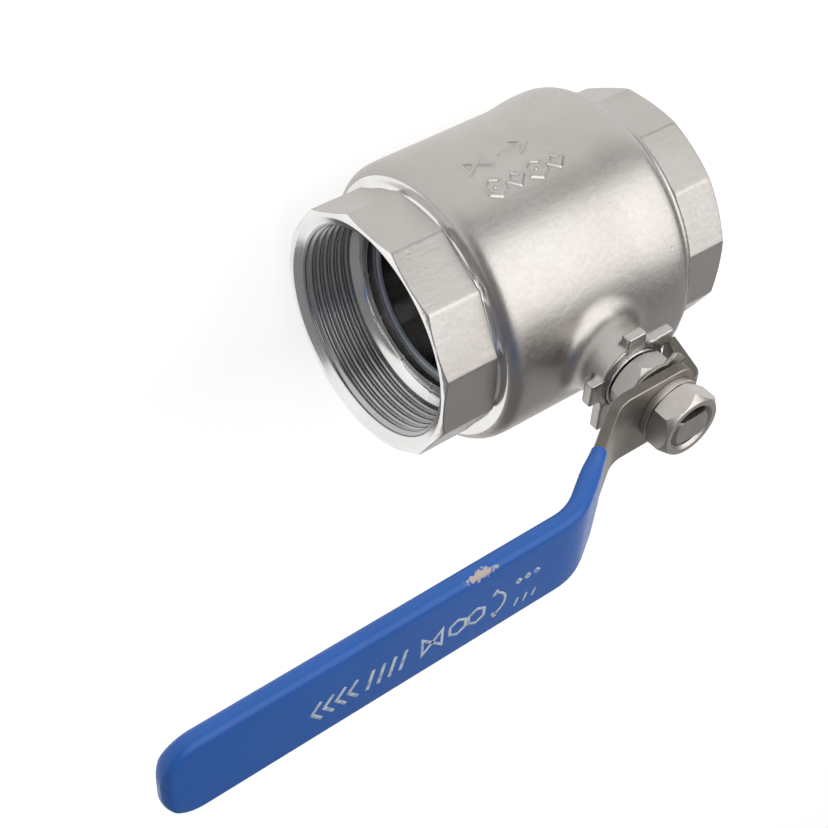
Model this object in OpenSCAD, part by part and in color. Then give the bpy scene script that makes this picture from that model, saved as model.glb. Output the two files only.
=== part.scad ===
// Two-piece threaded ball valve with a lever handle, drawn open.
// Origin at the ball centre, +X along the pipe to the end the lever points over,
// +Z up the stem, millimetres.

/* [Pipe ends] */
// Ball centre to the face of the body's pipe end
near_len = 46; // [42:0.5:56]
// Ball centre to the face of the end cap
far_len = 48.5; // [44:0.5:60]
// Radius over the corners of the twelve-sided ends
poly_r = 34.3; // [33.6:0.1:37]
// Length of the flats on the body end
near_flat = 16.5; // [14:0.5:20]
// Radius of the pipe thread at its crests
thread_r = 28.4; // [28:0.05:29]
// Length of thread cut in each end
thread_len = 16; // [13:0.5:19]
// Radius of the chamfer at the mouth of each thread
mouth_r = 30; // [29.6:0.1:32]

/* [Barrel] */
// Barrel radius beside the body's flats
barrel_near = 38.9; // [37:0.1:40]
// Barrel radius beyond the stem, before it steps up to the rim
barrel_mid = 39.1; // [38:0.1:40.5]
// Barrel radius at the raised rim over the cap thread
barrel_far = 40.2; // [39:0.1:42]
// Ball centre to the joint between body and cap
seam = 30.5; // [29.5:0.1:31.5]
// Radius of the cap's screwed-in collar thread
cap_thread_r = 36.4; // [36:0.05:36.8]

/* [Ball and seats] */
// Ball radius
ball_r = 32.5; // [32:0.1:32.9]
// Radius of the passage through the ball
bore_r = 22.5; // [20:0.1:23]
// Radius of the passage between thread and seat
port_r = 23.8; // [23.2:0.1:25]
// Outer radius of a seat ring
seat_r = 28.4; // [27:0.1:28.6]
// Gap kept between ball and seat face
seat_gap = 0.3; // [0.25:0.05:0.4]

/* [Stem and gland] */
// Stem radius
stem_r = 6; // [5.5:0.1:6]
// Height of the stem end over the pipe axis
stem_top = 72.3; // [72:0.1:74]
// Half width over the two flats at the stem end
stem_flat = 3.8; // [3.4:0.1:5]
// Height of the stem boss on the body
boss_top = 50.5; // [50:0.1:51]
// Radius of the stem boss
boss_r = 10.6; // [10.3:0.1:12]
// Radius of the packing chamber
pack_r = 8.8; // [8.4:0.1:9]
// Width over flats of the packing nut
pack_nut_af = 16; // [15:0.5:18]
// Width over flats of the lever nut
lever_nut_af = 17; // [16:0.5:19]

/* [Lever] */
// Thickness of the lever strip
strip_t = 3; // [2.5:0.1:3.5]
// Height of the upper face of the lever at the stem
strip_top = 63.3; // [63:0.1:64]
// Width of the lever at the stem
hub_w = 21; // [20:0.5:24]
// Width of the lever inside the sleeve
strip_w = 20.4; // [18:0.2:21]
// Width over the sleeve
sleeve_w = 24; // [23:0.2:26]
// Thickness over the sleeve
sleeve_t = 5; // [4.6:0.1:6]
// Stem axis to the end of the sleeve
reach = 156; // [140:1:180]
// Height of the middle of the grip
grip_z = 82.2; // [78:0.2:90]
// Stem axis to the start of the sleeve
sleeve_start = 29.5; // [28:0.5:36]

/* [Hidden] */
fine = 96;
ball_fn = 144;
slide = 0.08;                       // running clearance round the stem
web_x = 27.6;                       // face behind the near thread
cap_web_x = 30.1;                   // face behind the far thread
pocket_x = 24.6;                    // bottom of each seat pocket
pocket_r = seat_r + 0.15;
cavity_r = 33.7;
chamfer_r = 33.1;                   // where the corner chamfers meet the end faces
chamfer_tilt = 53;
shoulder_x = 17.4;                  // gasket shoulder in the body
gasket_t = 1.5;
head_r = 8.4;                       // blow-out shoulder of the stem
head_z = 33.3;
head_top = 36.8;
thrust_top = 38;
chamber_z = 41.4;
ring_h = 1.9;
bush_top = 51.4;
nut_z = 51.6;
pack_nut_h = 6;
lock_t = 0.9;
spring_t = 2;
spring_r = 8.9;
lever_nut_h = 6.9;
nut_base_drop = 0.9;                // chamfer height at the corners under a nut
nut_top_drop = 2.2;                 // and over it
strip_z = strip_top - strip_t;
lug_low = 47.6;
tang_t = 5.6;                       // blade under the stem head, along the pipe
tang_w = 14.6;
slot_z = 27.2;
ramp_x0 = 17;                       // where the lever starts to rise
ramp_x1 = 48;                       // where it levels out into the grip
tab_half = 4.5;                     // half width of the stop tab
tab_x = -8.3;                         // where the stop tab folds down
tab_lean = 16;                      // lean of the stop tab away from plumb
tab_len = 12;
sleeve_round = 9;

// Solid of revolution round the pipe axis; points are [radius, x].
module round_x(pts, fn = fine) {
  rotate([0, 90, 0]) rotate_extrude($fn = fn) polygon(pts);
}

// Straight cylinder along the pipe between two x positions.
module rod_x(x0, x1, r) {
  translate([x0, 0, 0]) rotate([0, 90, 0]) cylinder(r = r, h = x1 - x0, $fn = fine);
}

// Straight cylinder up the stem axis.
module rod_z(z0, z1, r) {
  translate([0, 0, z0]) cylinder(r = r, h = z1 - z0, $fn = fine);
}

module ring_z(z0, z1, ri, ro) {
  difference() {
    rod_z(z0, z1, ro);
    rod_z(z0 - 1, z1 + 1, ri);
  }
}

// Twelve-sided length of a pipe end with a flat facing up the stem; the corners
// are chamfered at the x1 end.
module flats_x(x0, x1) difference() {
  translate([x0, 0, 0]) rotate([0, 90, 0]) rotate([0, 0, 15])
    cylinder(r = poly_r, h = x1 - x0, $fn = 12);
  for (i = [0:11]) rotate([15 + 30 * i, 0, 0]) translate([x1, 0, chamfer_r])
    rotate([0, chamfer_tilt, 0]) translate([-10, -10, 0]) cube([20, 20, 5]);
}

// Thread bore with its mouth chamfer and runout, mouth at x = len, floor at web.
module thread_bore(len, web) {
  root = len - thread_len;
  round_x([[0, web], [26.3, web], [26.3, web + 0.6], [thread_r, root],
    [thread_r, len - (mouth_r - thread_r)], [mouth_r, len], [mouth_r, len + 1], [0, len + 1]]);
}

module body_lug(x0, x1, y0, y1, top = boss_top) {
  translate([x0, y0, lug_low]) cube([x1 - x0, y1 - y0, top - lug_low]);
}

module valve_body() color("silver") difference() {
  union() {
    flats_x(near_len - near_flat, near_len);
    round_x([[0, -seam], [39.2, -seam], [39.9, -seam + 1], [barrel_far, -seam + 3],
      [barrel_far - 0.1, -24.5], [barrel_far - 0.4, -21], [barrel_mid + 0.2, -17.5],
      [barrel_mid, -15], [barrel_near, 23.5], [38.4, 25.6], [37.7, 27.1], [36.6, 28.2],
      [35.2, 28.8], [34, 29.1], [33.3, 29.4], [33, near_len - near_flat],
      [0, near_len - near_flat]]);
    rod_z(30, boss_top, boss_r);
    rotate_extrude($fn = fine) polygon([[0, 30], [17.5, 30], [17.5, 36.9], [15.6, 38.3],
      [13.6, 40.2], [12.1, 42.6], [11.1, 45.2], [boss_r, lug_low - 0.1], [0, lug_low - 0.1]]);
    body_lug(-3, 3, -13.6, 0);
    body_lug(0, 13.6, -3.5, 3.5);
    body_lug(-13.2, -5.6, -9.2, -5);
    body_lug(5, 9.2, 5.6, 14.6);
  }
  thread_bore(near_len, web_x);
  rod_x(-60, web_x + 1, port_r);
  rod_x(-20, pocket_x, pocket_r);
  round_x([[0, -20], [cavity_r, -20], [cavity_r, 9], [pocket_r, 17], [0, 17]]);
  rod_x(-seam - 1, -shoulder_x, cap_thread_r + 0.1);
  rod_z(20, thrust_top, head_r + 0.3);
  rod_z(20, 60, stem_r + slide);
  rod_z(chamber_z, 60, pack_r);
}

module end_cap() color("silver") difference() {
  union() {
    mirror([1, 0, 0]) flats_x(seam + 2.2, far_len);
    round_x([[0, -34.2], [poly_r + 0.1, -34.2], [35.4, -33.4], [37.2, -32.8],
      [38.2, -32.4], [38.5, -31.8], [38.5, -seam - 0.1], [0, -seam - 0.1]]);
    rod_x(-seam - 1, -shoulder_x - gasket_t, cap_thread_r);
  }
  mirror([1, 0, 0]) thread_bore(far_len, cap_web_x);
  rod_x(-60, 0, port_r);
  rod_x(-pocket_x, 0, pocket_r);
}

module ball() color("gainsboro") difference() {
  sphere(r = ball_r, $fn = ball_fn);
  rod_x(-40, 40, bore_r);
  translate([-tang_t / 2 - 0.1, -40, slot_z]) cube([tang_t + 0.2, 80, 20]);
}

module seat_blank() difference() {
  rod_x(18, pocket_x - 0.05, seat_r);
  rod_x(0, 40, bore_r + 0.2);
  sphere(r = ball_r + seat_gap, $fn = ball_fn);
}

module seat_ring_near() color("white") seat_blank();
module seat_ring_far() color("white") mirror([1, 0, 0]) seat_blank();

module body_gasket() color("white") difference() {
  rod_x(-shoulder_x - gasket_t + 0.05, -shoulder_x - 0.05, cap_thread_r - 0.1);
  rod_x(-40, 0, cavity_r + 0.2);
}

module stem() color("lightgray") {
  rod_z(head_z, head_top, head_r);
  intersection() {
    rod_z(slot_z + 0.3, head_z + 1, head_r);
    translate([-tang_t / 2, -tang_w / 2, slot_z]) cube([tang_t, tang_w, 10]);
  }
  rod_z(head_top - 1, strip_z, stem_r);
  intersection() {
    union() {
      rod_z(strip_z - 1, stem_top - 0.8, stem_r);
      translate([0, 0, stem_top - 0.8]) cylinder(r1 = stem_r, r2 = stem_r - 0.8, h = 0.8, $fn = fine);
    }
    translate([-10, -stem_flat, strip_z - 1]) cube([20, 2 * stem_flat, 20]);
  }
}

module thrust_washer() color("white")
  ring_z(head_top + 0.1, thrust_top, stem_r + slide, head_r + 0.2);

module packing(i) color("white")
  ring_z(chamber_z + i * ring_h, chamber_z + (i + 1) * ring_h - 0.05, stem_r + slide, pack_r - 0.05);
module packing_ring_lower() packing(0);
module packing_ring_middle() packing(1);
module packing_ring_upper() packing(2);

module gland_bushing() color("lightgray")
  ring_z(chamber_z + 3 * ring_h, bush_top, stem_r + slide, pack_r - 0.1);

// Hexagon nut with both faces chamfered, one corner at the given bearing.
module hex_nut(z0, h, af, bore, turn) {
  rc = af / 2 / cos(30);
  translate([0, 0, z0]) difference() {
    intersection() {
      rotate([0, 0, turn]) cylinder(r = rc, h = h, $fn = 6);
      rotate_extrude($fn = fine) polygon([[0, 0], [af / 2 - 0.2, 0],
        [rc + 0.1, nut_base_drop], [rc + 0.1, h - nut_top_drop], [af / 2 - 0.3, h], [0, h]]);
    }
    translate([0, 0, -1]) cylinder(r = bore, h = h + 2, $fn = fine);
    translate([0, 0, h - 0.8]) cylinder(r1 = bore, r2 = bore + 0.9, h = 0.9, $fn = fine);
  }
}

module packing_nut() color("lightgray")
  hex_nut(nut_z, pack_nut_h, pack_nut_af, stem_r + 0.02, -11);

module lock_washer() color("lightgray") difference() {
  union() {
    rod_z(nut_z + pack_nut_h, nut_z + pack_nut_h + lock_t, 9);
    intersection() {
      rotate([0, 0, 232]) translate([6, -2.6, nut_z + pack_nut_h]) cube([6.4, 5.2, lock_t]);
      rod_z(nut_z, 70, 12.2);
    }
  }
  rod_z(40, 70, stem_r + 0.02);
}

module spring_washer() color("lightgray") difference() {
  ring_z(strip_top, strip_top + spring_t, stem_r + 0.2, spring_r);
  rotate([12, 0, 150]) translate([5, -0.5, 50]) cube([8, 1, 30]);
}

module lever_nut() color("lightgray")
  hex_nut(strip_top + spring_t, lever_nut_h, lever_nut_af, stem_r + 0.02, -36);

// Side outline of the bent strip: a band of thickness t about the middle line.
module strip_side(t, x0, x1) {
  mid = strip_top - strip_t / 2;
  rise = atan2(grip_z - mid, ramp_x1 - ramp_x0);
  s = tan(rise / 2) * t / 2;
  intersection() {
    polygon([[x0, mid - t / 2], [ramp_x0 + s, mid - t / 2], [ramp_x1 + s, grip_z - t / 2],
      [x1, grip_z - t / 2], [x1, grip_z + t / 2], [ramp_x1 - s, grip_z + t / 2],
      [ramp_x0 - s, mid + t / 2], [x0, mid + t / 2]]);
    translate([x0, 0]) square([x1 - x0, 200]);
  }
}

// Same outline given the plan width w.
module strip_solid(t, x0, x1, w) {
  translate([0, w / 2, 0]) rotate([90, 0, 0]) linear_extrude(height = w)
    strip_side(t, x0, x1);
}

module lever() color("darkgray") difference() {
  union() {
    intersection() {
      strip_solid(strip_t, -20, reach - 3, hub_w);
      translate([0, 0, 50]) linear_extrude(height = 60) polygon([[tab_x, -tab_half],
        [-8, -6.3], [-7, -8.4], [-5.2, -10], [-3, -hub_w / 2], [sleeve_start, -hub_w / 2],
        [sleeve_start + 4, -strip_w / 2], [reach - 10, -strip_w / 2],
        [reach - 3, -strip_w / 2 + 7], [reach - 3, strip_w / 2 - 7],
        [reach - 10, strip_w / 2], [sleeve_start + 4, strip_w / 2], [sleeve_start, hub_w / 2],
        [-3, hub_w / 2], [-5.2, 10], [-7, 8.4], [-8, 6.3], [tab_x, tab_half]]);
    }
    translate([tab_x, tab_half, 0]) rotate([90, 0, 0]) linear_extrude(height = 2 * tab_half)
      polygon([[0.2, strip_z], [0, strip_z], [-0.6, strip_z - 0.3], [-1, strip_z - 1],
        [-1 - tab_len * tan(tab_lean), strip_z - tab_len],
        [-4 - tab_len * tan(tab_lean), strip_z - tab_len + 0.4], [-3.9, strip_z],
        [-3.2, strip_z + 1.6], [-1.8, strip_z + 2.7], [0, strip_top], [0.2, strip_top]]);
  }
  intersection() {
    rod_z(50, 70, stem_r + 0.1);
    translate([-10, -stem_flat - 0.1, 50]) cube([20, 2 * stem_flat + 0.2, 20]);
  }
}

module lever_sleeve() color("royalblue") difference() {
  intersection() {
    strip_solid(sleeve_t, sleeve_start, reach, sleeve_w);
    translate([0, 0, 50]) linear_extrude(height = 60) union() {
      translate([sleeve_start, -sleeve_w / 2])
        square([reach - sleeve_start - sleeve_round, sleeve_w]);
      for (s = [-1, 1])
        translate([reach - sleeve_round, s * (sleeve_w / 2 - sleeve_round)])
          circle(r = sleeve_round, $fn = 48);
      translate([reach - 20, -sleeve_w / 2 + sleeve_round])
        square([20, sleeve_w - 2 * sleeve_round]);
    }
  }
  intersection() {
    strip_solid(strip_t + 0.02, sleeve_start - 1, reach - 2.99, hub_w + 0.02);
    translate([0, 0, 50]) linear_extrude(height = 60) polygon([
      [sleeve_start - 1, -hub_w / 2 - 0.01], [sleeve_start, -hub_w / 2 - 0.01],
      [sleeve_start + 4, -strip_w / 2 - 0.01], [reach - 10, -strip_w / 2 - 0.01],
      [reach - 2.99, -strip_w / 2 + 7], [reach - 2.99, strip_w / 2 - 7],
      [reach - 10, strip_w / 2 + 0.01], [sleeve_start + 4, strip_w / 2 + 0.01],
      [sleeve_start, hub_w / 2 + 0.01], [sleeve_start - 1, hub_w / 2 + 0.01]]);
  }
}

valve_body();
end_cap();
ball();
seat_ring_near();
seat_ring_far();
body_gasket();
stem();
thrust_washer();
packing_ring_lower();
packing_ring_middle();
packing_ring_upper();
gland_bushing();
packing_nut();
lock_washer();
lever();
lever_sleeve();
spring_washer();
lever_nut();
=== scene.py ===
import math

import bmesh
import bpy
import numpy as np
from mathutils import Matrix, Vector


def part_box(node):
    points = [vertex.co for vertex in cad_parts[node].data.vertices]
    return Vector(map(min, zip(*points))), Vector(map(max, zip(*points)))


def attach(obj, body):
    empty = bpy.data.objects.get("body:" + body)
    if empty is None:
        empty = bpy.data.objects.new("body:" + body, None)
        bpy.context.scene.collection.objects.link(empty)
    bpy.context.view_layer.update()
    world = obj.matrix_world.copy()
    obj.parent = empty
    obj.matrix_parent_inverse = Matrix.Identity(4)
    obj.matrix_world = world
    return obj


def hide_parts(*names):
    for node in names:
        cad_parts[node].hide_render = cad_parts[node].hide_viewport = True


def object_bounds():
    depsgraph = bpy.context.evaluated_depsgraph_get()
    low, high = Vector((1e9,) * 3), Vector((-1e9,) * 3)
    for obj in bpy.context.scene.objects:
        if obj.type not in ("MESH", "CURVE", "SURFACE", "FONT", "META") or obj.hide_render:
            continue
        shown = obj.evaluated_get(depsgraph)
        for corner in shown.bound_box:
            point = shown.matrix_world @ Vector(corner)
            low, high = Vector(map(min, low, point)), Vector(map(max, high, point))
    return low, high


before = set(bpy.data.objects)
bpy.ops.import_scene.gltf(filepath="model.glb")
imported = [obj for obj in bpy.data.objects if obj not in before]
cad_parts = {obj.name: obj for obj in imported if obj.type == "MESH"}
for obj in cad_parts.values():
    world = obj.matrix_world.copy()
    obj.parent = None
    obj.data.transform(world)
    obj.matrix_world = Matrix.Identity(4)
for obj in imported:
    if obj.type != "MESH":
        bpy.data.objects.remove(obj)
CAD_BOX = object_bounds()
MM = 0.001
TAU = 2 * math.pi

# ---------------------------------------------------------------- sizes, in millimetres
# Read from the CAD
NEAR_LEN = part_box("valve_body")[1].x / MM          # ball centre to the body's pipe end
FAR_LEN = -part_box("end_cap")[0].x / MM             # ball centre to the cap's pipe end
SEAM = -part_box("valve_body")[0].x / MM             # ball centre to the joint of body and cap
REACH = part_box("lever_sleeve")[1].x / MM           # stem axis to the end of the sleeve
BOSS_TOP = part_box("valve_body")[1].z / MM
STRIP_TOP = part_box("spring_washer")[0].z / MM      # upper face of the lever at the stem
SLEEVE_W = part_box("lever_sleeve")[1].y / MM        # half width of the sleeve
LEVER_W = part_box("lever")[1].y / MM                # half width of the bare lever

# Pipe ends
SIDES = 12                                         # wrench flats round each end
HALF_SIDE = math.pi / SIDES                        # angle from a corner to the middle of a flat
POLY_R = 34.3                                      # over the corners of the flats
APOTHEM = POLY_R * math.cos(HALF_SIDE)
CORNER_ROUND = 2.0                                 # radius of the corners between flats
NEAR_FLAT_LEN, CAP_FLAT_END = 16.5, 35.3           # flats' length, and where the cap's flats stop
FACE_R, CHAMFER_TILT = 33, 1.9 / 3                 # edge of the end face, and the corner chamfer
THREAD_R, THREAD_DEPTH, PITCH, THREAD_LEN = 28.4, 1.1, 2.309, 16
MOUTH_R, MOUTH_SLOPE = 31.9, 1.4                   # radius and steepness of the mouth's chamfer
NEAR_WEB_X, CAP_WEB_X, WEB_R = 27.6, 30.1, 26.3    # wall behind each thread
GROOVE_R = 35.6                                    # the turned groove reaches out this far

# Inside
PORT_R, POCKET_R, POCKET_X, CAVITY_R = 23.8, 28.55, 24.6, 33.7
CAVITY_END_X = 9                                   # where the cavity tapers towards the pocket
CAP_THREAD_R, SHOULDER_X, GASKET_T = 36.4, 17.4, 1.5

# Stem boss
BOSS_R, CHAMBER_R, CHAMBER_FLOOR, STEM_HOLE_R = 10.6, 8.8, 41.4, 6.2
FILLET = 5.2                                       # blend between the boss and the barrel
LUG_FOOT = 47.5
PATCH_R, PATCH_FADE_R = 22.4, 19.3                 # the boss's patch of barrel, and its sinking rim
PATCH_LIFT = 0.012                                 # keeps a patch just over the barrel under it
PATCH_SINK = 0.03                                  # how fast a patch's rim dips into the barrel
PATCH_FLOOR_R = 36.6                               # underside of the boss's patch

# Lever and sleeve
STRIP_T, SLEEVE_T, GRIP_Z = 3, 5, 82.2
RAMP_X0, RAMP_X1, SLEEVE_START = 17, 48, 29.5
TAB_W, HIDDEN_W = 4.5, 10.2                        # half widths of the tab and inside the sleeve
TIP_R = 9                                          # corner radius at the end of the grip
PRINT_ROOM = 0.04                                  # the grip's face lies this far under the print's
SCUFF_AT, SCUFF_SIZE = (76.6, -11.6, 83.9), (4.3, 1.2, 1.2)

CAST_FACE, TURNED_FACE, BORE_FACE, THREAD_FACE = range(4)   # material slots of the castings


# ---------------------------------------------------------------- mesh tools
def make_object(name, verts, faces, mats, face_mats=None, weighted=True):
    """Mesh object from points in millimetres, smooth shaded, with normals facing out."""
    mesh = bpy.data.meshes.new(name)
    mesh.from_pydata([tuple(v) for v in np.asarray(verts, float) * MM], [], faces)
    for m in mats:
        mesh.materials.append(m)
    if face_mats is not None:
        mesh.polygons.foreach_set("material_index", np.asarray(face_mats, np.int32))
    bm = bmesh.new()
    bm.from_mesh(mesh)
    bmesh.ops.remove_doubles(bm, verts=bm.verts, dist=1e-6)
    bmesh.ops.recalc_face_normals(bm, faces=bm.faces)
    bm.to_mesh(mesh)
    bm.free()
    mesh.shade_smooth()
    obj = bpy.data.objects.new(name, mesh)
    bpy.context.scene.collection.objects.link(obj)
    if weighted:
        w = obj.modifiers.new("normals", "WEIGHTED_NORMAL")
        w.weight, w.keep_sharp = 60, True
    return obj


def grid_faces(n, m, wrap_n, wrap_m, offset=0):
    """Quads of an n by m grid of vertices, closed along either side if asked."""
    i = np.arange(n if wrap_n else n - 1)
    j = np.arange(m if wrap_m else m - 1)
    a, b = np.meshgrid(i, j, indexing="ij")
    a2, b2 = (a + 1) % n, (b + 1) % m
    quads = np.stack([a * m + b, a2 * m + b, a2 * m + b2, a * m + b2], -1)
    return (quads.reshape(-1, 4) + offset).tolist()


def join(parts):
    """One vertex list and face list from several (verts, faces, face_mats)."""
    verts, faces, mats, base = [], [], [], 0
    for v, f, m in parts:
        verts.append(np.asarray(v, float))
        faces += [[k + base for k in q] for q in f]
        mats += list(m) if hasattr(m, "__len__") else [m] * len(f)
        base += len(v)
    return np.concatenate(verts), faces, mats


def smooth_step(x):
    x = np.clip(x, 0, 1)
    return x * x * (3 - 2 * x)


def smin(a, b, k):
    """Smooth union of two distance fields, with a fillet about k wide."""
    h = np.clip(0.5 + 0.5 * (b - a) / k, 0, 1)
    return b + (a - b) * h - k * h * (1 - h)


def smax(a, b, k):
    return -smin(-a, -b, k)


def nets(field, lo, hi, h):
    """Surface of field(x, y, z) = 0 by naive surface nets, snapped onto the field."""
    axes = [np.arange(a, b + h, h) for a, b in zip(lo, hi)]
    g = np.meshgrid(*axes, indexing="ij")
    d = field(*g)
    s = d < 0
    nx, ny, nz = d.shape
    count = np.zeros((nx - 1, ny - 1, nz - 1), np.int8)
    corners = [(i, j, k) for i in (0, 1) for j in (0, 1) for k in (0, 1)]
    for i, j, k in corners:
        count += s[i:nx - 1 + i, j:ny - 1 + j, k:nz - 1 + k]
    cells = np.argwhere((count > 0) & (count < 8))
    ids = -np.ones(count.shape, np.int64)
    ids[tuple(cells.T)] = np.arange(len(cells))
    total, hits = np.zeros((len(cells), 3)), np.zeros(len(cells))
    for a in corners:
        for b in corners:
            if sum(q - p for p, q in zip(a, b)) == 1 and all(q >= p for p, q in zip(a, b)):
                da, db = d[tuple((cells + a).T)], d[tuple((cells + b).T)]
                cross = (da < 0) != (db < 0)
                t = np.where(cross, da / np.where(cross, da - db, 1), 0)
                p = np.asarray(a) + t[:, None] * (np.asarray(b) - np.asarray(a))
                total += p * cross[:, None]
                hits += cross
    verts = np.asarray(lo) + h * (cells + total / hits[:, None])
    e = 0.02                                        # step of the numerical gradient
    for _ in range(3):                              # Newton steps onto the surface
        f0 = field(*verts.T)
        grad = np.stack([(field(*(verts + e * u).T) - field(*(verts - e * u).T)) / (2 * e)
                         for u in np.eye(3)], -1)
        step = f0 / np.maximum((grad ** 2).sum(1), 0.2)
        verts = verts - np.clip(step, -0.4 * h, 0.4 * h)[:, None] * grad
    faces = []
    for ax in range(3):
        u, v = [(1, 2), (2, 0), (0, 1)][ax]
        first = [slice(None)] * 3
        second = [slice(None)] * 3
        first[ax], second[ax] = slice(0, -1), slice(1, None)
        cut = np.argwhere(s[tuple(first)] != s[tuple(second)])
        cut = cut[(cut[:, u] > 0) & (cut[:, v] > 0)]
        cut = cut[(cut[:, u] < d.shape[u] - 1) & (cut[:, v] < d.shape[v] - 1)]
        du, dv = np.eye(3, dtype=int)[u], np.eye(3, dtype=int)[v]
        faces.append(np.stack([ids[tuple((cut - du - dv).T)], ids[tuple((cut - dv).T)],
                               ids[tuple(cut.T)], ids[tuple((cut - du).T)]], -1))
    return verts, np.concatenate(faces).tolist()


def around(x, r, theta):
    """Points at x along the pipe axis, radius r and angle theta round it."""
    return np.stack([x, r * np.cos(theta), r * np.sin(theta)], -1)


SHARP_ANGLE = math.radians(35)


def soften(obj, width):
    """Rounds the edges of a carried-over CAD node, or only shades them sharp at width 0."""
    weld = obj.modifiers.new("weld", "WELD")
    weld.merge_threshold = 1e-6
    obj.data.shade_smooth()
    if width:
        bevel = obj.modifiers.new("bevel", "BEVEL")
        bevel.width, bevel.segments = width * MM, 2
        bevel.limit_method, bevel.angle_limit = "ANGLE", SHARP_ANGLE
        bevel.use_clamp_overlap = True
    else:
        obj.data.set_sharp_from_angle(angle=SHARP_ANGLE)
    w = obj.modifiers.new("normals", "WEIGHTED_NORMAL")
    w.weight, w.keep_sharp = 60, not width


# ---------------------------------------------------------------- pipe ends and barrel
def corner_angles():
    """Angles round the pipe axis, close together at the twelve corners of the flats."""
    side = 360 / SIDES
    near = [-1.6, -0.8, -0.4, 0, 0.4, 0.8, 1.6]
    rest = np.linspace(3.2, side - 3.2, 12)
    return np.radians(np.concatenate([side * (k + 0.5) + np.concatenate([near, rest])
                                      for k in range(SIDES)]))


THETA = corner_angles()


def poly_radius(theta):
    """Radius of the twelve-sided section, its corners rounded."""
    off = np.abs(theta % (2 * HALF_SIDE) - HALF_SIDE)
    flat = APOTHEM / np.cos(HALF_SIDE - off)
    c = (APOTHEM - CORNER_ROUND) / math.cos(HALF_SIDE)
    reach = math.atan2(CORNER_ROUND * math.sin(HALF_SIDE),
                       c + CORNER_ROUND * math.cos(HALF_SIDE))
    arc = c * np.cos(off) + np.sqrt(np.maximum(CORNER_ROUND ** 2 - (c * np.sin(off)) ** 2, 0))
    return np.where(off < reach, arc, flat)


def thread_radius(x, theta, face):
    """Pipe thread cut in a bore whose mouth is at distance face; fades out at its root."""
    u = x / PITCH - theta / TAU
    ridge = smooth_step(np.clip(1.1 * np.abs(2 * (u - np.floor(u)) - 1) - 0.05, 0, 1))
    depth = THREAD_DEPTH * smooth_step((np.abs(x) - (face - THREAD_LEN) + 0.4) / 2.2)
    return THREAD_R + depth * ridge


def end_shell(face, web, flat_len, outer, inner, far_side):
    """Closed lathe-like solid of one threaded end: outer and inner are (x, r) lists that
    carry on from the flats and from the port. far_side mirrors it to -x."""
    t = THETA[:, None]
    rp = poly_radius(t)
    edge = face - (rp - FACE_R) * CHAMFER_TILT      # where the corner chamfer meets the flats
    cols = []

    def put(x, r, mat):
        cols.append((x + 0 * t, r + 0 * t, mat))

    # mouth and end face
    put(face - 0.22, MOUTH_R - 0.3, TURNED_FACE)
    put(face - 0.05, MOUTH_R - 0.04, TURNED_FACE)
    put(face, MOUTH_R + 0.2, TURNED_FACE)
    put(face, FACE_R - 0.25, TURNED_FACE)
    put(face - 0.06, FACE_R + 0.02, TURNED_FACE)
    # corner chamfers and flats
    put(np.minimum(edge + 0.12, face - 0.08), rp - 0.2, CAST_FACE)
    put(edge - 0.02, rp - 0.04, CAST_FACE)
    put(edge - 0.22, rp, CAST_FACE)
    back = face - flat_len
    for x in np.linspace(face - 2.5, back + 0.8, 5):
        put(x, rp, CAST_FACE)
    put(back + 0.4, rp, CAST_FACE)
    put(back + 0.12, rp - 0.1, CAST_FACE)
    put(back, rp - 0.38, CAST_FACE)
    for x, r in outer:
        put(x, r, TURNED_FACE if r < GROOVE_R and not far_side else CAST_FACE)
    for x, r in inner:
        put(x, r, BORE_FACE)
    # port, web and thread, from the inside out
    put(web - 0.15, PORT_R, BORE_FACE)
    put(web, PORT_R + 0.15, TURNED_FACE)
    put(web, WEB_R - 0.2, TURNED_FACE)
    put(web + 0.12, WEB_R, TURNED_FACE)
    put(web + 0.6, WEB_R + 0.02, TURNED_FACE)
    root = face - THREAD_LEN
    for f in (0.3, 0.65):
        put(web + 0.6 + f * (root - web - 0.6),
            WEB_R + 0.02 + f * (THREAD_R - WEB_R - 0.02), TURNED_FACE)
    sign = -1 if far_side else 1
    stop = face - (MOUTH_R - THREAD_R - THREAD_DEPTH) / MOUTH_SLOPE
    for x in np.arange(root - 0.2, stop, PITCH / 13):
        cone = MOUTH_R - MOUTH_SLOPE * (face - x)
        put(x, np.maximum(thread_radius(sign * x, t, face), cone), THREAD_FACE)
    for x in np.linspace(stop + 0.08, face - 0.26, 3):
        put(x, MOUTH_R - MOUTH_SLOPE * (face - x), TURNED_FACE)

    xs, rs, mats = zip(*cols)
    xs, rs = sign * np.concatenate(xs, 1), np.concatenate(rs, 1)
    verts = around(xs, rs, np.broadcast_to(t, xs.shape)).reshape(-1, 3)
    return verts, grid_faces(*xs.shape, True, True), np.tile(mats, len(t))


# Outline (x, r) of the barrel, from the groove behind the flats to the rim at the joint
BARREL = [(29.3, 33.2), (29.05, 33.45), (28.85, 33.9), (28.75, 34.6), (28.65, 35.5), (28.5, 36.2),
          (28.2, 36.85), (27.7, 37.5), (27.0, 38.05), (26.1, 38.5), (25.0, 38.78), (23.5, 38.9),
          (21.0, 38.94), (17, 38.95), (12, 38.98), (6, 39.0), (0, 39.05), (-6, 39.08), (-12, 39.1),
          (-14.6, 39.12), (-15.6, 39.17), (-16.6, 39.3), (-17.8, 39.46), (-19.4, 39.68),
          (-21.2, 39.9), (-23, 40.06), (-25, 40.15), (-26.5, 40.18), (-27.8, 40.1), (-28.8, 39.85),
          (-29.6, 39.4), (-30.1, 38.9), (-30.4, 38.35), (-30.5, 37.9)]
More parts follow.
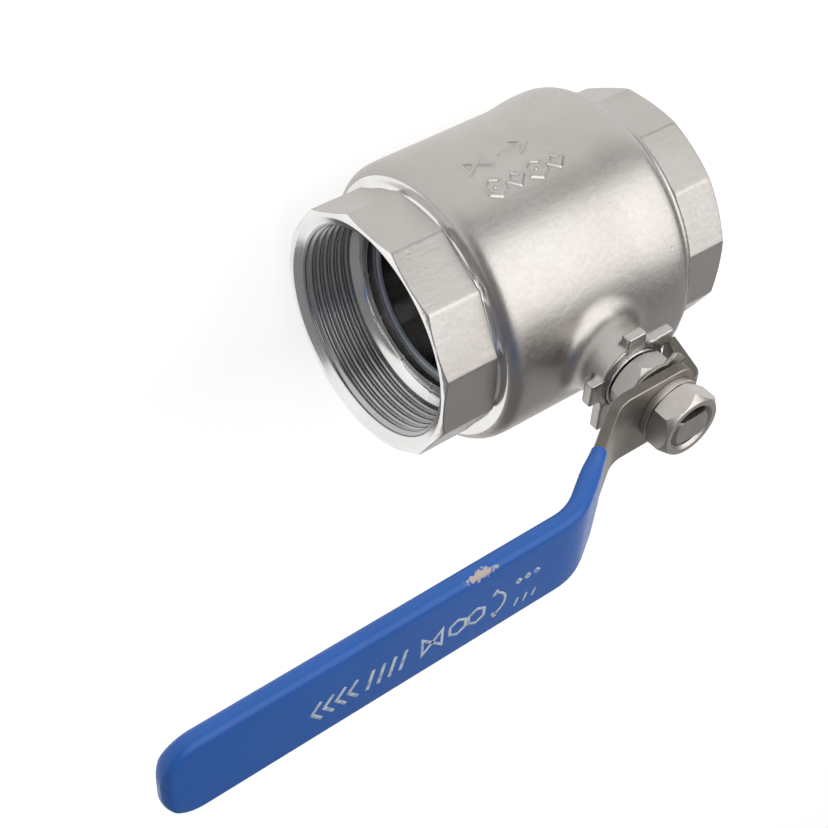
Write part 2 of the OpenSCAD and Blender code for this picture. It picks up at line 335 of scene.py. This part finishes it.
# The same for the cap's collar, from its flats to the thread in the body
CAP_COLLAR = [(35.0, 33.35), (34.5, 33.6), (34.0, 34.1), (33.5, 34.9), (33.1, 35.9),
              (32.8, 36.9), (32.4, 37.7), (32.0, 38.0), (31.4, 38.1), (31.0, 38.0),
              (30.78, 37.8), (30.66, 37.5), (30.6, CAP_THREAD_R + 0.1), (30.4, CAP_THREAD_R)]
# Seat pocket and the start of the port, the same in body and cap
POCKET = [(POCKET_X, POCKET_R), (POCKET_X, PORT_R + 0.2), (POCKET_X + 0.2, PORT_R)]


def barrel_radius(x):
    return np.interp(x, *zip(*BARREL[::-1]))


def body_mesh():
    inner = [(-SEAM, CAP_THREAD_R + 0.4), (-SEAM + 0.3, CAP_THREAD_R + 0.1),
             (-SHOULDER_X, CAP_THREAD_R + 0.1), (-SHOULDER_X, CAVITY_R),
             (CAVITY_END_X, CAVITY_R), (CAVITY_END_X + 8, POCKET_R)] + POCKET
    return end_shell(NEAR_LEN, NEAR_WEB_X, NEAR_FLAT_LEN, BARREL, inner, False)


def cap_mesh():
    end = SHOULDER_X + GASKET_T
    inner = [(end + 0.3, CAP_THREAD_R), (end, CAP_THREAD_R - 0.3), (end, POCKET_R)] + POCKET
    return end_shell(FAR_LEN, CAP_WEB_X, FAR_LEN - CAP_FLAT_END, CAP_COLLAR, inner, True)


# ---------------------------------------------------------------- stem boss
LUGS = [((-3.0, -13.6), (3.0, -6)), ((6, -3.5), (13.6, 3.5)),
        ((-13.2, -9.2), (-5.6, -5.0)), ((5.0, 5.6), (9.2, 14.6))]


def box_field(x, y, z, lo, hi, r):
    """Signed distance to the box from lo to hi, its edges rounded to r."""
    q = [np.abs(v - (a + b) / 2) - (b - a) / 2 + r for v, a, b in zip((x, y, z), lo, hi)]
    outside = np.sqrt(sum(np.maximum(k, 0) ** 2 for k in q))
    return outside + np.minimum(np.maximum(np.maximum(q[0], q[1]), q[2]), 0) - r


def boss_solid(x, y, z):
    """The boss with its packing chamber; solid below the chamber's floor."""
    rho = np.sqrt(x * x + y * y) + 1e-9
    chamber = np.minimum(CHAMBER_R - rho, z - CHAMBER_FLOOR)
    pipe = np.sqrt(y * y + z * z)
    sink = PATCH_SINK * np.maximum(rho - PATCH_FADE_R, 0) ** 2
    barrel = pipe - barrel_radius(x) - PATCH_LIFT + sink
    neck = smax(rho - BOSS_R, z - BOSS_TOP, 0.7)
    lugs = np.min([box_field(x, y, z, (*lo, LUG_FOOT), (*hi, BOSS_TOP), 0.55)
                   for lo, hi in LUGS], axis=0)
    d = smin(smin(neck, barrel, FILLET), lugs, 1.1)
    d = smax(d, chamber, 0.35)
    d = np.maximum(d, STEM_HOLE_R - rho)
    d = np.maximum(d, rho - PATCH_R)
    return np.maximum(d, PATCH_FLOOR_R - pipe)


def boss_mesh():
    verts, faces = nets(boss_solid, (-23, -23, 28), (23, 23, 51.6), 0.42)
    return verts, faces, CAST_FACE


# ---------------------------------------------------------------- raised marks on the barrel
LOW_ROW, HIGH_ROW = -6.3, 2.6       # arc length of the two rows of marks
MARK_HEIGHT = 0.42
MARK_MIDDLE = math.radians(177)     # angle round the pipe axis where v is 0


def seg(u, v, a, b):
    """Distance from (u, v) to the line between a and b."""
    pu, pv = u - a[0], v - a[1]
    bu, bv = b[0] - a[0], b[1] - a[1]
    t = np.clip((pu * bu + pv * bv) / (bu * bu + bv * bv), 0, 1)
    return np.hypot(pu - t * bu, pv - t * bv)


def convex(u, v, c, r, sides, turn=0.0):
    """Signed distance to a regular polygon round c with inner radius r."""
    k = turn + TAU * np.arange(sides) / sides
    return np.max([(u - c[0]) * math.cos(a) + (v - c[1]) * math.sin(a) for a in k], axis=0) - r


def marks_field(u, v):
    """Distance to a plain pattern: hexagons round a dot, diamonds, a flow arrow, a valve symbol."""
    d = np.full_like(u, 9.0)
    for x in (13.4, 0.4):
        hexagon = np.abs(convex(u, v, (x, LOW_ROW), 2.5, 6))
        d = np.minimum(d, np.minimum(hexagon, np.hypot(u - x, v - LOW_ROW)))
    for x in (7.0, -5.8):
        d = np.minimum(d, np.abs(convex(u, v, (x, LOW_ROW), 1.6, 4, TAU / 8)))
    tie, half, tall = 12.4, 3.5, 2.5
    for s in (-1, 1):
        end = tie + half * s
        for a, b in (((-3.6, 0), (-0.2, 2.6 * s)),
                     ((tie - half, tall * s), (tie + half, -tall * s)),
                     ((end, -tall), (end, tall))):
            d = np.minimum(d, seg(u, v - HIGH_ROW, a, b))
    return np.minimum(d, seg(u, v - HIGH_ROW, (-3.6, 0), (5.2, 0)))


def marks_mesh():
    """A skin over the barrel that carries the cast marks, closed underneath."""
    u = np.arange(-10, 20.01, 0.26)
    v = np.arange(-12, 8.01, 0.26)
    u, v = np.meshgrid(u, v, indexing="ij")
    height = MARK_HEIGHT * smooth_step((0.8 - marks_field(u, v)) / 0.65)
    edge = np.minimum(np.minimum(u - u.min(), u.max() - u), np.minimum(v - v.min(), v.max() - v))
    sink = PATCH_SINK * np.maximum(1.6 - edge, 0) ** 2
    r = barrel_radius(u)
    theta = MARK_MIDDLE + v / 39.3
    top = around(u, r + PATCH_LIFT + height - sink, theta).reshape(-1, 3)
    bottom = around(u, r - 1.2, theta).reshape(-1, 3)
    n, m = u.shape
    f_top = grid_faces(n, m, False, False)
    f_bot = [q[::-1] for q in grid_faces(n, m, False, False, n * m)]
    rim = ([i * m for i in range(n)] + [(n - 1) * m + j for j in range(1, m)]
           + [i * m + m - 1 for i in range(n - 2, -1, -1)] + [j for j in range(m - 2, 0, -1)])
    side = [[rim[k], rim[(k + 1) % len(rim)], rim[(k + 1) % len(rim)] + n * m, rim[k] + n * m]
            for k in range(len(rim))]
    return np.concatenate([top, bottom]), f_top + f_bot + side, CAST_FACE


# ---------------------------------------------------------------- lever and sleeve
def bent_path(points, radii, step):
    """Points (x, z) and directions along a bent line, with arcs of the given radii."""
    pts = [np.array(p, float) for p in points]
    out = []

    def line(a, b):
        n = max(2, int(np.linalg.norm(b - a) / step))
        return [a + (b - a) * k / n for k in range(n)]

    here = pts[0]
    for a, b, c, radius in zip(pts, pts[1:], pts[2:], radii):
        d1, d2 = (b - a) / np.linalg.norm(b - a), (c - b) / np.linalg.norm(c - b)
        turn = math.acos(float(np.clip(d1 @ d2, -1, 1)))
        cut = radius * math.tan(turn / 2)
        out += line(here, b - d1 * cut)
        side = np.sign(d1[0] * d2[1] - d1[1] * d2[0])
        normal = side * np.array([-d1[1], d1[0]])
        centre = b - d1 * cut + normal * radius
        n = max(3, int(radius * turn / step))
        for i in range(n):
            angle = side * turn * i / n
            rot = np.array([[math.cos(angle), -math.sin(angle)],
                            [math.sin(angle), math.cos(angle)]])
            out.append(centre + rot @ (-normal * radius))
        here = b + d2 * cut
    out += line(here, pts[-1]) + [pts[-1]]
    out = np.array(out)
    tangent = np.gradient(out, axis=0)
    return out, tangent / np.linalg.norm(tangent, axis=1)[:, None]


def section(w, t, r, n=5):
    """Rounded rectangle loop of half width w, half thickness t and corner radius r."""
    r = min(r, t * 0.999, w * 0.999)
    signs = [(1, 1), (-1, 1), (-1, -1), (1, -1)]

    def at(k, a):
        """Point at angle a on the arc of corner k."""
        sy, sz = signs[k % 4]
        return np.array([sy * (w - r) + r * math.cos(a), sz * (t - r) + r * math.sin(a)])

    loop = []
    for k in range(4):
        loop += [at(k, math.pi / 2 * (k + i / n)) for i in range(n + 1)]
        a = math.pi / 2 * (k + 1)
        p, q = at(k, a), at(k + 1, a)
        more = 9 if k in (0, 2) else 1              # points along the wide and the narrow side
        loop += [p + (q - p) * j / (more + 1) for j in range(1, more + 1)]
    return np.array(loop)


def loft(path, tangent, half_w, half_t, corner):
    """Solid swept along a path in the XZ plane, with its own size at each station."""
    rings = []
    for p, d, w, t in zip(path, tangent, half_w, half_t):
        loop = section(w, t, corner)
        up = np.array([-d[1], d[0]])
        rings.append(np.stack([p[0] + loop[:, 1] * up[0], loop[:, 0],
                               p[1] + loop[:, 1] * up[1]], -1))
    m = len(rings[0])
    verts = np.concatenate(rings)
    faces = grid_faces(len(rings), m, False, True)
    faces += [list(range(m))[::-1], [len(verts) - m + k for k in range(m)]]
    return verts, faces


MID_Z = STRIP_TOP - STRIP_T / 2
TAB_FOOT = (-14.24, 48.5)
LEVER_LINE = [TAB_FOOT, (-10.43, MID_Z), (RAMP_X0, MID_Z), (RAMP_X1, GRIP_Z), (REACH, GRIP_Z)]
LEVER_BENDS = [2.8, 13, 17]


HUB_OUTLINE = ([-8.7, -8.3, -8.0, -7.0, -5.2, -3.2], [TAB_W, 4.9, 6.4, 8.4, 10.0, LEVER_W])


def lever_mesh():
    """The strip from the foot of its tab to its end inside the sleeve; material 1 is its sheared
    edge, darkened with painted shade.
    """
    path, along = bent_path(LEVER_LINE, LEVER_BENDS, 0.5)
    keep = path[:, 0] <= REACH - 6.5
    path, along = path[keep], along[keep]
    x = path[:, 0]
    half_w = np.interp(x, *HUB_OUTLINE)
    half_w = np.where(path[:, 1] < MID_Z - 1.6, TAB_W, half_w)
    half_w = np.where(x > SLEEVE_START + 2, HIDDEN_W, half_w)
    half_t = np.full(len(x), STRIP_T / 2)
    half_w[0] -= 0.4                                # the foot of the tab is rounded
    half_t[0] -= 0.45
    verts, faces = loft(path, along, half_w, half_t, 0.42)
    y = np.abs(verts[:, 1]).reshape(len(path), -1)
    # Vertices of the strip's sheared edge; their faces take the darker edge material, which is
    # painted shade
    sheared_and_shaded = (y > y.max(1, keepdims=True) - 0.05).ravel()
    return verts, faces, [int(all(sheared_and_shaded[k] for k in q)) for q in faces]


def sleeve_mesh():
    """The dipped sleeve: a thin lip, then the strip's own bends, then a rounded tip."""
    step = 1.1
    path, along = bent_path(LEVER_LINE, LEVER_BENDS, step)
    keep = (path[:, 0] >= SLEEVE_START + 0.5) & (path[:, 0] < REACH - 20)
    body, body_along = path[keep], along[keep]
    lip = [body[0] - body_along[0] * s for s in (0.5, 0.42, 0.22)]
    turn = np.radians(np.concatenate([np.arange(-60, 84, 6), [86, 88, 89.9]]))
    tip_x = REACH - TIP_R + TIP_R * np.sin(turn)
    tip_x = np.concatenate([np.arange(body[-1][0] + step, tip_x[0], step), tip_x])
    tip = np.stack([tip_x, np.full(len(tip_x), GRIP_Z)], -1)
    path = np.concatenate([lip, body, tip])
    along = np.concatenate([[body_along[0]] * 3, body_along, [[1, 0]] * len(tip)])
    x = path[:, 0]
    into = np.clip((x - (REACH - TIP_R)) / TIP_R, 0, 1)
    half_w = SLEEVE_W - TIP_R + TIP_R * np.sqrt(np.maximum(1 - into ** 2, 0))
    half_t = np.full(len(x), SLEEVE_T / 2 - PRINT_ROOM)
    half_t *= 1 - 0.72 * np.clip((x - (REACH - 2.4)) / 2.4, 0, 1) ** 2.2
    thin = 1 - smooth_step((x - SLEEVE_START) / 9)  # the dip starts as a thin film
    half_w -= (SLEEVE_W - LEVER_W - 0.45) * thin
    half_t -= (SLEEVE_T - STRIP_T - 0.9) / 2 * thin
    half_w[:2] -= [0.3, 0.1]
    half_t[:2] -= [0.3, 0.1]
    return *loft(path, along, half_w, half_t, 2.05), 0


# ---------------------------------------------------------------- print on the grip
def ribbon(points, width, closed=False):
    """Thin raised stroke of the given width along a line of (x, y) points; material 1."""
    pts = np.array(points, float)
    ahead = np.roll(pts, -1, 0) - pts
    behind = pts - np.roll(pts, 1, 0)
    if not closed:
        ahead[-1], behind[0] = behind[-1], ahead[0]
    ahead /= np.linalg.norm(ahead, axis=1)[:, None]
    behind /= np.linalg.norm(behind, axis=1)[:, None]
    across = ahead + behind
    across /= np.linalg.norm(across, axis=1)[:, None]
    mitre = width / 2 / np.maximum((across * ahead).sum(1), 0.4)
    side = np.stack([-across[:, 1], across[:, 0]], -1) * mitre[:, None]
    top, low = GRIP_Z + SLEEVE_T / 2 - 0.005, GRIP_Z + SLEEVE_T / 2 - 0.4
    n = len(pts)
    rings = [np.column_stack([q, np.full(n, z)]) for q, z in
             ((pts + side, top), (pts - side, top), (pts - side, low), (pts + side, low))]
    verts = np.stack(rings, 1).reshape(-1, 3)
    faces = grid_faces(n, 4, closed, True)
    if not closed:
        faces += [[3, 2, 1, 0], [4 * n - 4, 4 * n - 3, 4 * n - 2, 4 * n - 1]]
    return verts, faces, 1


def loop_round(c, r, sides, turn=0.0):
    """Corners of a regular polygon round c."""
    a = turn + TAU * np.arange(sides) / sides
    return np.stack([c[0] + r * np.cos(a), c[1] + r * np.sin(a)], -1)


def print_marks():
    """Small diamonds and bars, a curved double arrow, hexagons, slanted bars and chevrons."""
    out = []
    for k in range(3):
        out.append(ribbon(loop_round((60.4 + 2.6 * k, -1.9), 0.75, 4), 0.5, True))
        out.append(ribbon([(60.0 + 2.6 * k, 4.4), (60.9 + 2.6 * k, 6.8)], 0.6))
    turn = np.radians(np.linspace(118, 242, 15))
    arc = np.stack([74.4 + 5.2 * np.cos(turn), 1.4 + 4.3 * np.sin(turn)], -1)
    out.append(ribbon(arc, 0.7))
    for tip, back in ((arc[-1], arc[-3]), (arc[0], arc[2])):
        d = (tip - back) / np.linalg.norm(tip - back)
        out.append(ribbon([tip - 0.2 * d, tip + 0.5 * d, tip + 0.9 * d], 1.9))
    for x in (77.4, 82.6):
        out.append(ribbon(loop_round((x, 1.6), 2.5, 6, TAU / 12), 0.8, True))
    for s in (-1, 1):
        out.append(ribbon([(89.6, 1.6), (89.6 + 2.7 * s, 4.3), (89.6 + 2.7 * s, -1.1)], 0.75, True))
    for k in range(4):
        out.append(ribbon([(96.6 + 2.9 * k, -1.4), (98.2 + 2.9 * k, 4.6)], 0.95))
    for k in range(4):
        x = 109.4 + 3.1 * k
        out.append(ribbon([(x, -1.4), (x + 2.4, 1.6), (x, 4.6)], 0.9))
    return out


# ---------------------------------------------------------------- materials
def material(name):
    """New material, its node tree and the sockets of its shader."""
    m = bpy.data.materials.new(name)
    m.use_nodes = True
    return m, m.node_tree, m.node_tree.nodes["Principled BSDF"].inputs


def object_coords(nt, scale=(1, 1, 1)):
    tc = nt.nodes.new("ShaderNodeTexCoord")
    mp = nt.nodes.new("ShaderNodeMapping")
    mp.inputs["Scale"].default_value = scale
    nt.links.new(tc.outputs["Object"], mp.inputs["Vector"])
    return mp.outputs["Vector"]


def noise(nt, vec, scale, detail=4, rough=0.55):
    n = nt.nodes.new("ShaderNodeTexNoise")
    n.inputs["Scale"].default_value = scale
    n.inputs["Detail"].default_value = detail
    n.inputs["Roughness"].default_value = rough
    nt.links.new(vec, n.inputs["Vector"])
    return n.outputs["Fac"]


def ramp(nt, fac, stops):
    """Colour ramp through (position, colour) stops."""
    r = nt.nodes.new("ShaderNodeValToRGB")
    els = r.color_ramp.elements
    while len(els) < len(stops):
        els.new(0.5)
    for e, (p, c) in zip(els, stops):
        e.position, e.color = p, (*c, 1)
    nt.links.new(fac, r.inputs["Fac"])
    return r.outputs["Color"]


def map_range(nt, fac, *limits):
    """Maps fac from its first two limits to its last two."""
    r = nt.nodes.new("ShaderNodeMapRange")
    for k, v in zip(("From Min", "From Max", "To Min", "To Max"), limits):
        r.inputs[k].default_value = v
    nt.links.new(fac, r.inputs["Value"])
    return r.outputs["Result"]


def bump(nt, height, strength, distance, under=None):
    """Bump on top of another bump's normal, if given; distance in metres."""
    b = nt.nodes.new("ShaderNodeBump")
    b.inputs["Strength"].default_value = strength
    b.inputs["Distance"].default_value = distance
    nt.links.new(height, b.inputs["Height"])
    if under is not None:
        nt.links.new(under, b.inputs["Normal"])
    return b.outputs["Normal"]


def grey(v, warm):
    """Steel grey, warmer with warm."""
    return (v * (1 + 0.03 * warm), v * (1 - 0.005 * warm), v * (1 - 0.04 * warm))


def finish(nt, shader, cloud, dark, light, rough_from, rough, normal):
    """Colour from dark to light by cloud, roughness by rough_from, and the bump."""
    colour = ramp(nt, cloud, [(0.3, dark), (0.7, light)])
    nt.links.new(colour, shader["Base Color"])
    nt.links.new(map_range(nt, rough_from, 0.3, 0.7, *rough), shader["Roughness"])
    nt.links.new(normal, shader["Normal"])


def cast_steel():
    """Blasted casting: soft clouds, fine grain, ripples drawn out along the pipe, small pits."""
    m, nt, shader = material("cast_steel")
    vec = object_coords(nt)
    cloud = noise(nt, vec, 38, 3)
    grain = noise(nt, vec, 900, 3, 0.6)
    ripple = noise(nt, object_coords(nt, (0.35, 1, 1)), 520, 4, 0.6)
    pits = nt.nodes.new("ShaderNodeTexVoronoi")
    pits.inputs["Scale"].default_value = 130
    nt.links.new(vec, pits.inputs["Vector"])
    pit = map_range(nt, pits.outputs["Distance"], 0.03, 0.09, 0.0, 1.0)
    normal = bump(nt, ripple, 0.16, 0.00025)
    normal = bump(nt, grain, 0.12, 0.00012, normal)
    normal = bump(nt, pit, 0.2, 0.00015, normal)
    finish(nt, shader, cloud, grey(0.415, 1.8), grey(0.465, 1.3), grain, (0.33, 0.43), normal)
    shader["Metallic"].default_value = 1.0
    return m


def length_of(nt, vector):
    node = nt.nodes.new("ShaderNodeVectorMath")
    node.operation = "LENGTH"
    nt.links.new(vector, node.inputs[0])
    return node.outputs["Value"]


def turned_steel(name, value, rough):
    """Fine circular tool marks round the pipe axis."""
    m, nt, shader = material(name)
    nodes, links = nt.nodes, nt.links
    vec = nodes.new("ShaderNodeTexCoord").outputs["Object"]
    sep = nodes.new("ShaderNodeSeparateXYZ")
    links.new(vec, sep.inputs[0])
    flat = nodes.new("ShaderNodeCombineXYZ")
    links.new(sep.outputs["Y"], flat.inputs["Y"])
    links.new(sep.outputs["Z"], flat.inputs["Z"])
    rings = nodes.new("ShaderNodeCombineXYZ")
    links.new(length_of(nt, flat.outputs[0]), rings.inputs["X"])
    links.new(sep.outputs["X"], rings.inputs["Y"])
    lines = noise(nt, rings.outputs[0], 3500, 2, 0.7)
    cloud = noise(nt, vec, 60, 3)
    finish(nt, shader, cloud, grey(value * 0.9, 0.5), grey(value, 0.3), lines, rough,
           bump(nt, lines, 0.15, 0.00005))
    shader["Metallic"].default_value = 1.0
    return m


def plain_steel(name, value, rough, warm, grain_scale=1500, strength=0.15, blotch=0.85):
    """Steel with an even grain; blotch is how dark its clouds go."""
    m, nt, shader = material(name)
    vec = object_coords(nt)
    cloud = noise(nt, vec, 140, 4)
    grain = noise(nt, vec, grain_scale, 3)
    finish(nt, shader, cloud, grey(value * blotch, warm), grey(value, warm), grain, rough,
           bump(nt, grain, strength, 0.0001))
    shader["Metallic"].default_value = 1.0
    return m


def white_ptfe():
    m, nt, shader = material("white_ptfe")
    vec = object_coords(nt)
    cloud = noise(nt, vec, 90, 3)
    finish(nt, shader, cloud, (0.48, 0.53, 0.60), (0.6, 0.64, 0.7), cloud, (0.3, 0.42),
           bump(nt, noise(nt, vec, 1800, 2), 0.1, 0.00005))
    return m


def blue_vinyl():
    """Dipped vinyl, rubbed through to a dull brown at one scuff on the upper edge."""
    m, nt, shader = material("blue_vinyl")
    nodes, links = nt.nodes, nt.links
    vec = object_coords(nt)
    cloud = noise(nt, vec, 30, 3)
    peel = noise(nt, vec, 420, 2)
    blue = ramp(nt, cloud, [(0.3, (0.017, 0.093, 0.35)), (0.7, (0.020, 0.104, 0.39))])
    spot = nodes.new("ShaderNodeMapping")
    spot.vector_type = "TEXTURE"
    spot.inputs["Location"].default_value = [v * MM for v in SCUFF_AT]
    spot.inputs["Scale"].default_value = [v * MM for v in SCUFF_SIZE]
    links.new(nodes.new("ShaderNodeTexCoord").outputs["Object"], spot.inputs["Vector"])
    ragged = nodes.new("ShaderNodeMath")
    ragged.operation = "ADD"
    links.new(length_of(nt, spot.outputs["Vector"]), ragged.inputs[0])
    links.new(map_range(nt, noise(nt, vec, 900, 3, 0.7), 0.3, 0.7, -0.55, 0.45), ragged.inputs[1])
    worn = map_range(nt, ragged.outputs[0], 0.75, 0.95, 1.0, 0.0)
    mix = nodes.new("ShaderNodeMix")
    mix.data_type = "RGBA"
    links.new(worn, mix.inputs["Factor"])
    links.new(blue, mix.inputs[6])
    mix.inputs[7].default_value = (0.42, 0.36, 0.34, 1)
    links.new(mix.outputs[2], shader["Base Color"])
    shader["Specular IOR Level"].default_value = 0.3
    links.new(map_range(nt, peel, 0.3, 0.7, 0.32, 0.4), shader["Roughness"])
    links.new(bump(nt, peel, 0.1, 0.0001), shader["Normal"])
    return m


def pale_print():
    """Printed marks, worn thin so that blue shows through in places."""
    m, nt, shader = material("pale_print")
    worn = noise(nt, object_coords(nt), 700, 3, 0.6)
    colour = ramp(nt, worn, [(0.32, (0.2, 0.28, 0.46)), (0.5, (0.50, 0.55, 0.62))])
    nt.links.new(colour, shader["Base Color"])
    shader["Roughness"].default_value = 0.5
    return m


def floor_material():
    m, _, shader = material("floor")
    shader["Base Color"].default_value = (0.35, 0.35, 0.35, 1)
    shader["Roughness"].default_value = 0.7
    shader["Emission Color"].default_value = (1, 1, 1, 1)
    shader["Emission Strength"].default_value = 0.8
    return m


CAST = cast_steel()
TURNED = turned_steel("turned_steel", 0.86, (0.14, 0.26))
BORE = turned_steel("bored_steel", 0.55, (0.2, 0.34))
THREAD = turned_steel("threaded_steel", 0.5, (0.22, 0.34))
BALL_STEEL = turned_steel("ball_steel", 0.3, (0.08, 0.16))
NUT_STEEL = plain_steel("nut_steel", 0.5, (0.36, 0.48), 1.8)
STEM_STEEL = plain_steel("stem_steel", 0.42, (0.3, 0.42), 1.4)
STRIP = plain_steel("strip_steel", 0.38, (0.42, 0.55), 2.6, 1100, 0.3, 0.75)
# The sheared edge is rougher and more grained than the strip's face; its much darker colour is
# painted shade standing in for the dark reflection its sides show
STRIP_EDGE_SHADED = plain_steel("sheared_edge_painted_shade", 0.17, (0.5, 0.62), 2.6, 1400, 0.4, 0.7)
PTFE = white_ptfe()
VINYL = blue_vinyl()
PRINT = pale_print()

# ---------------------------------------------------------------- pieces
def build(name, parts, mats, rides, stands_for):
    """One visible piece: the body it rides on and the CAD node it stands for."""
    verts, faces, face_mats = join(parts)
    o = make_object(name, verts, faces, mats, face_mats)
    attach(o, rides)
    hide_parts(stands_for)


CASTING = [CAST, TURNED, BORE, THREAD]             # in the order of CAST_FACE and the rest
build("cast_body", [body_mesh(), boss_mesh(), marks_mesh()], CASTING,
      "body", "valve_body")
build("cast_cap", [cap_mesh()], CASTING, "body", "end_cap")
build("lever_strip", [lever_mesh()], [STRIP, STRIP_EDGE_SHADED], "stem_and_lever", "lever")
build("grip_sleeve", [sleeve_mesh()] + print_marks(), [VINYL, PRINT],
      "stem_and_lever", "lever_sleeve")

# Nodes kept from the CAD: material, and edge rounding in millimetres
FINISH = {"ball": (BALL_STEEL, 0.3), "seat_ring_near": (PTFE, 0.25), "seat_ring_far": (PTFE, 0.25),
          "body_gasket": (PTFE, 0.1), "stem": (STEM_STEEL, 0.2), "thrust_washer": (PTFE, 0.1),
          "packing_ring_lower": (PTFE, 0.1), "packing_ring_middle": (PTFE, 0.1),
          "packing_ring_upper": (PTFE, 0.1), "gland_bushing": (TURNED, 0.15),
          "packing_nut": (STEM_STEEL, 0.25), "lock_washer": (NUT_STEEL, 0),
          "spring_washer": (NUT_STEEL, 0.2), "lever_nut": (NUT_STEEL, 0.3)}
for name, (mat, width) in FINISH.items():
    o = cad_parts[name]
    o.data.materials.clear()
    o.data.materials.append(mat)
    soften(o, width)

# ---------------------------------------------------------------- floor, light and camera
FLOOR_Z = CAD_BOX[0].z / MM - 0.2
HALF = 4000                                        # half the floor's side
floor = make_object("floor", [(x * HALF, y * HALF, FLOOR_Z) for x, y in
                              ((-1, -1), (1, -1), (1, 1), (-1, 1))],
                    [(0, 1, 2, 3)], [floor_material()], weighted=False)

world = bpy.data.worlds.new("studio")
bpy.context.scene.world = world
world.use_nodes = True
background = world.node_tree.nodes["Background"].inputs
background["Color"].default_value = (1, 1, 1, 1)
background["Strength"].default_value = 0.23


def softbox(name, towards, distance, wide, tall, power):
    """Area light in the given direction, facing the ball's centre, its width along the pipe."""
    light = bpy.data.lights.new(name, "AREA")
    light.shape, light.size, light.size_y, light.energy = "RECTANGLE", wide, tall, power
    o = bpy.data.objects.new(name, light)
    bpy.context.scene.collection.objects.link(o)
    d = Vector(towards).normalized()
    along = (Vector((1, 0, 0)) - d * d.x).normalized()
    turn = Matrix((along, d.cross(along), d)).transposed().to_4x4()
    o.matrix_world = Matrix.Translation(d * distance) @ turn


softbox("key", (-0.25, -0.56, 0.76), 1.0, 1.6, 1.2, 12.2)
softbox("fill", (-0.59, 0.69, 0.46), 1.0, 0.8, 0.8, 0.5)

RIGHT = (-0.79346, -0.04254, 0.60714)              # the camera's axes and place, in metres
UP = (-0.41590, -0.69042, -0.59191)
BACK = (0.44435, -0.72216, 0.53012)
CAM_AT = (0.2261, -0.28216, 0.23674)
cam_data = bpy.data.cameras.new("camera")
cam_data.sensor_width, cam_data.lens = 36, 70
cam_data.clip_start, cam_data.clip_end = 0.01, 30
cam = bpy.data.objects.new("camera", cam_data)
bpy.context.scene.collection.objects.link(cam)
cam.matrix_world = Matrix([*zip(RIGHT, UP, BACK, CAM_AT), (0, 0, 0, 1)])
bpy.context.scene.camera = cam
bpy.context.scene.view_settings.view_transform = "Standard"
